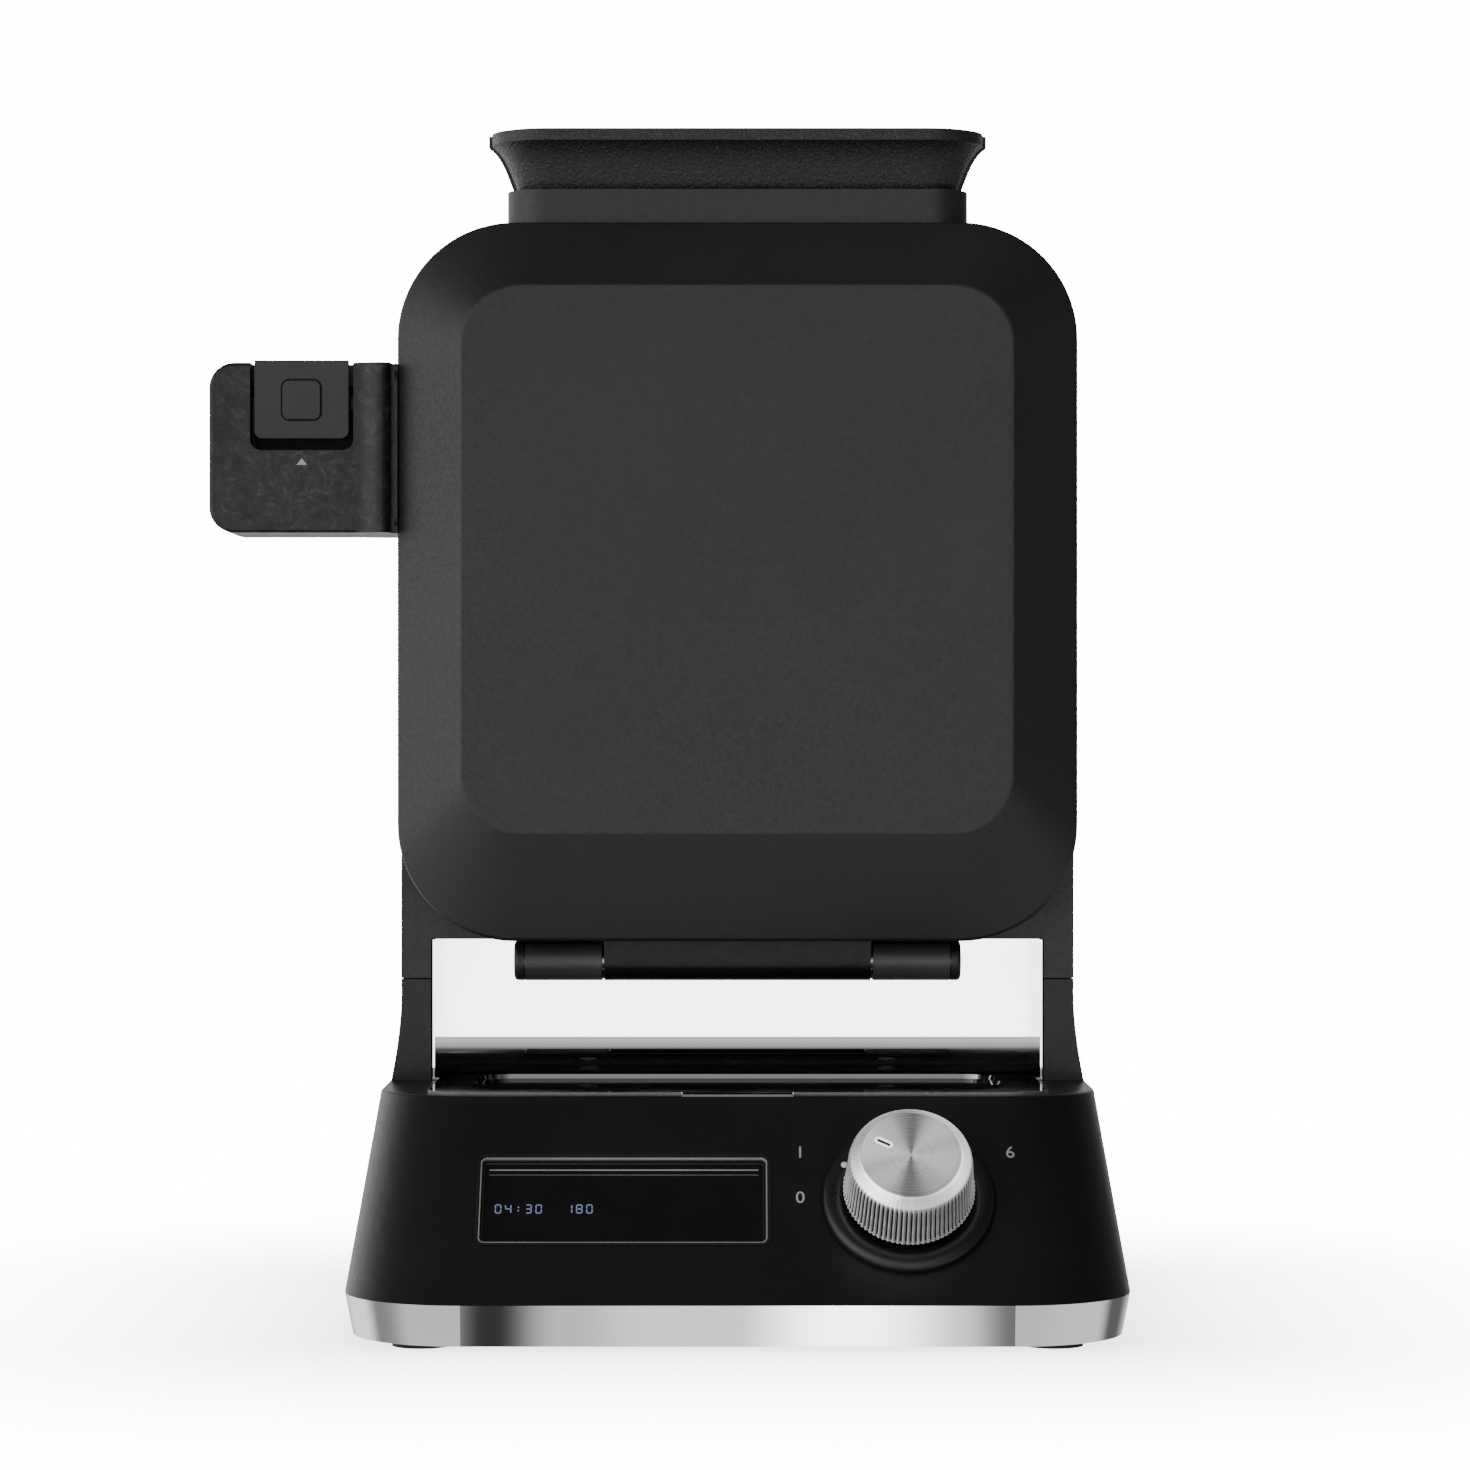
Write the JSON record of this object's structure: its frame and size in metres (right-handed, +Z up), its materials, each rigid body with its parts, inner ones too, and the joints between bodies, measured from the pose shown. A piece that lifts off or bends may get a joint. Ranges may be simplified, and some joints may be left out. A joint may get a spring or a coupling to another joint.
{
  "type": "vertical waffle maker",
  "caption": "Upright hinged waffle maker: front half swings down over a steel drip tray, filling funnel on top, latch in the side handle, timer display and dial on the sloped base.",
  "frame": {"origin": "on the counter, centred left to right, under the parting plane of the two upright halves", "axes": "+X to the right seen from the front, +Y towards the back, +Z up"},
  "size_m": [0.2859, 0.1958, 0.3751],
  "materials": {
    "painted_black": "die-cast, matte powder-coated black",
    "nonstick": "cast, dark non-stick coating",
    "plain_steel": "plain rolled steel sheet",
    "element_sheath": "dull heat-stained sheath",
    "zinc_steel": "zinc-plated steel",
    "dark_steel": "blackened steel",
    "textured_black": "coarse spark-textured black plastic",
    "handle_plastic": "mottled dark heat-proof plastic",
    "base_black": "fine satin black plastic",
    "satin_steel": "satin stainless steel",
    "under_plastic": "plain dark plastic",
    "foot_rubber": "matt rubber",
    "mirror_steel": "polished stainless steel",
    "display_gloss": "smoked glossy pane",
    "bezel_dark": "dark glossy frame",
    "board_black": "moulded component body",
    "board_green": "solder-masked circuit board",
    "knob_aluminium": "turned and anodised",
    "mark_white": "white print",
    "wire_sleeve": "woven heat-proof sleeve"
  },
  "bodies": {
    "stand": {"rear_housing": "painted_black", "rear_cover": "painted_black", "rear_cover_screws": "zinc_steel", "rear_waffle_plate": "nonstick", "rear_plate_frame": "nonstick", "rear_heat_shield": "plain_steel", "rear_heating_element": "element_sheath", "rear_thermostat": "element_sheath", "rear_plate_screws": "zinc_steel", "thermal_fuse": "zinc_steel", "rear_funnel": "textured_black", "rear_handle": "handle_plastic", "latch_catch": "zinc_steel", "hinge_bracket": "painted_black", "hinge_knuckle_right": "textured_black", "hinge_knuckle_left": "textured_black", "hinge_pin": "zinc_steel", "base_shell": "base_black", "base_band": "satin_steel", "bottom_cover": "under_plastic", "feet": "foot_rubber", "splash_liner": "mirror_steel", "display_window": "display_gloss", "display_bezel": "bezel_dark", "display_module": "board_black", "control_board": "board_green", "rotary_encoder": "zinc_steel", "dial_ring": "base_black", "power_board": "board_green", "power_relay": "board_black", "power_transformer": "board_black", "terminal_block": "under_plastic", "stand_harness": "wire_sleeve", "cord_gland": "under_plastic", "rear_handle_bolts": "zinc_steel", "bracket_screws": "zinc_steel"},
    "lid": {"lid_shell": "painted_black", "lid_waffle_plate": "nonstick", "lid_plate_frame": "nonstick", "lid_heat_shield": "plain_steel", "lid_heating_element": "element_sheath", "lid_thermostat": "element_sheath", "lid_plate_screws": "zinc_steel", "lid_funnel": "textured_black", "lid_handle": "handle_plastic", "hinge_barrel": "painted_black", "latch_pin": "dark_steel", "latch_springs": "zinc_steel", "lid_harness": "wire_sleeve", "lid_handle_bolts": "zinc_steel"},
    "latch": {"latch_button": "handle_plastic", "latch_badge": "handle_plastic"},
    "knob": {"knob_cap": "knob_aluminium", "knob_hub": "under_plastic", "knob_shaft": "zinc_steel", "knob_pointer": "mark_white"}
  },
  "joints": [
    {"name": "lid_hinge", "type": "hinge", "parent": "stand", "child": "lid", "pos_m": [0, 0, 0.1114], "axis": [1, 0, 0], "range_deg": [0, 90]},
    {"name": "latch_press", "type": "hinge", "parent": "lid", "child": "latch", "pos_m": [-0.13755, -0.0146, 0.2925], "axis": [1, 0, 0], "range_deg": [0, 8], "stiffness_Nm_per_rad": 0.2, "springref_deg": -5.73},
    {"name": "knob_turn", "type": "hinge", "parent": "stand", "child": "knob", "pos_m": [0.0513, -0.08659, 0.04388], "axis": [0, -0.7759, 0.6309], "range_deg": [-124, 28]}
  ]
}
